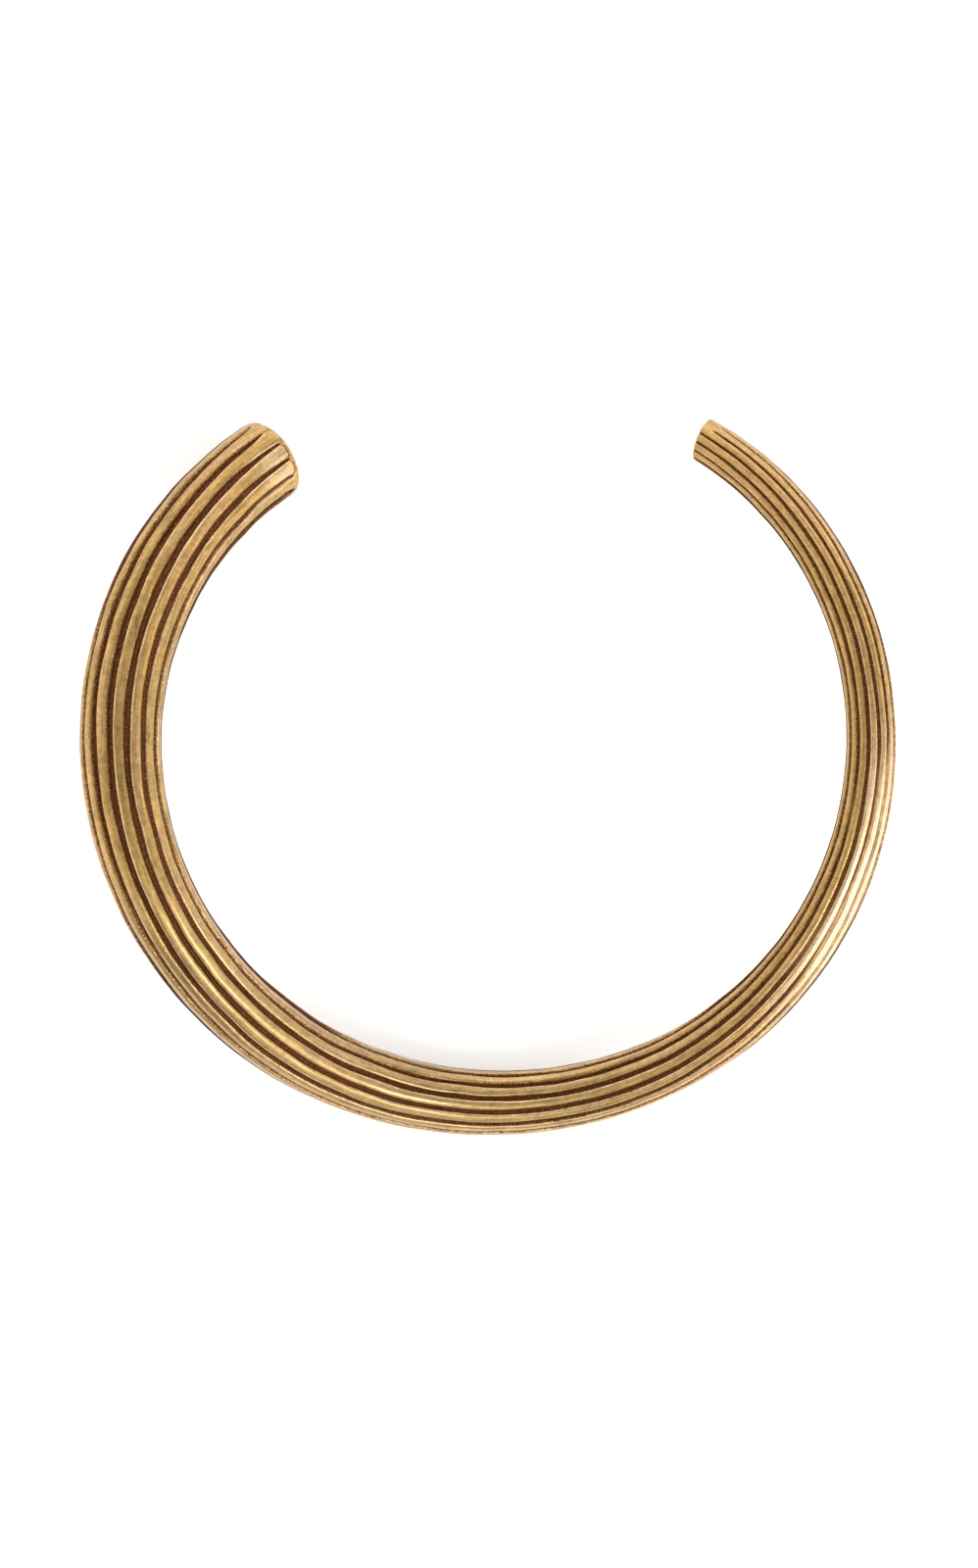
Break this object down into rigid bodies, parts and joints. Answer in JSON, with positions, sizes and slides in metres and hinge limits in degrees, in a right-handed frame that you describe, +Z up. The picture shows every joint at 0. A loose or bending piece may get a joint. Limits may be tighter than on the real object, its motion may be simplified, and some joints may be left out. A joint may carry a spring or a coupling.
{
  "type": "neck ring",
  "caption": "Rigid open neck ring of ribbed brass bar, thick at one free end and thin at the other, its sides arched to sit over the shoulders.",
  "frame": {"origin": "centre of the ring's box seen from above, on the surface that it rests on", "axes": "+X from the thick end's side to the thin end's side, +Y towards the gap between the ends, +Z up"},
  "size_m": [0.1456, 0.1302, 0.0396],
  "materials": {
    "collar": "satin, aged, with dark patina in the grooves and worn bright crests"
  },
  "bodies": {
    "root": {"collar": "collar"}
  },
  "joints": []
}
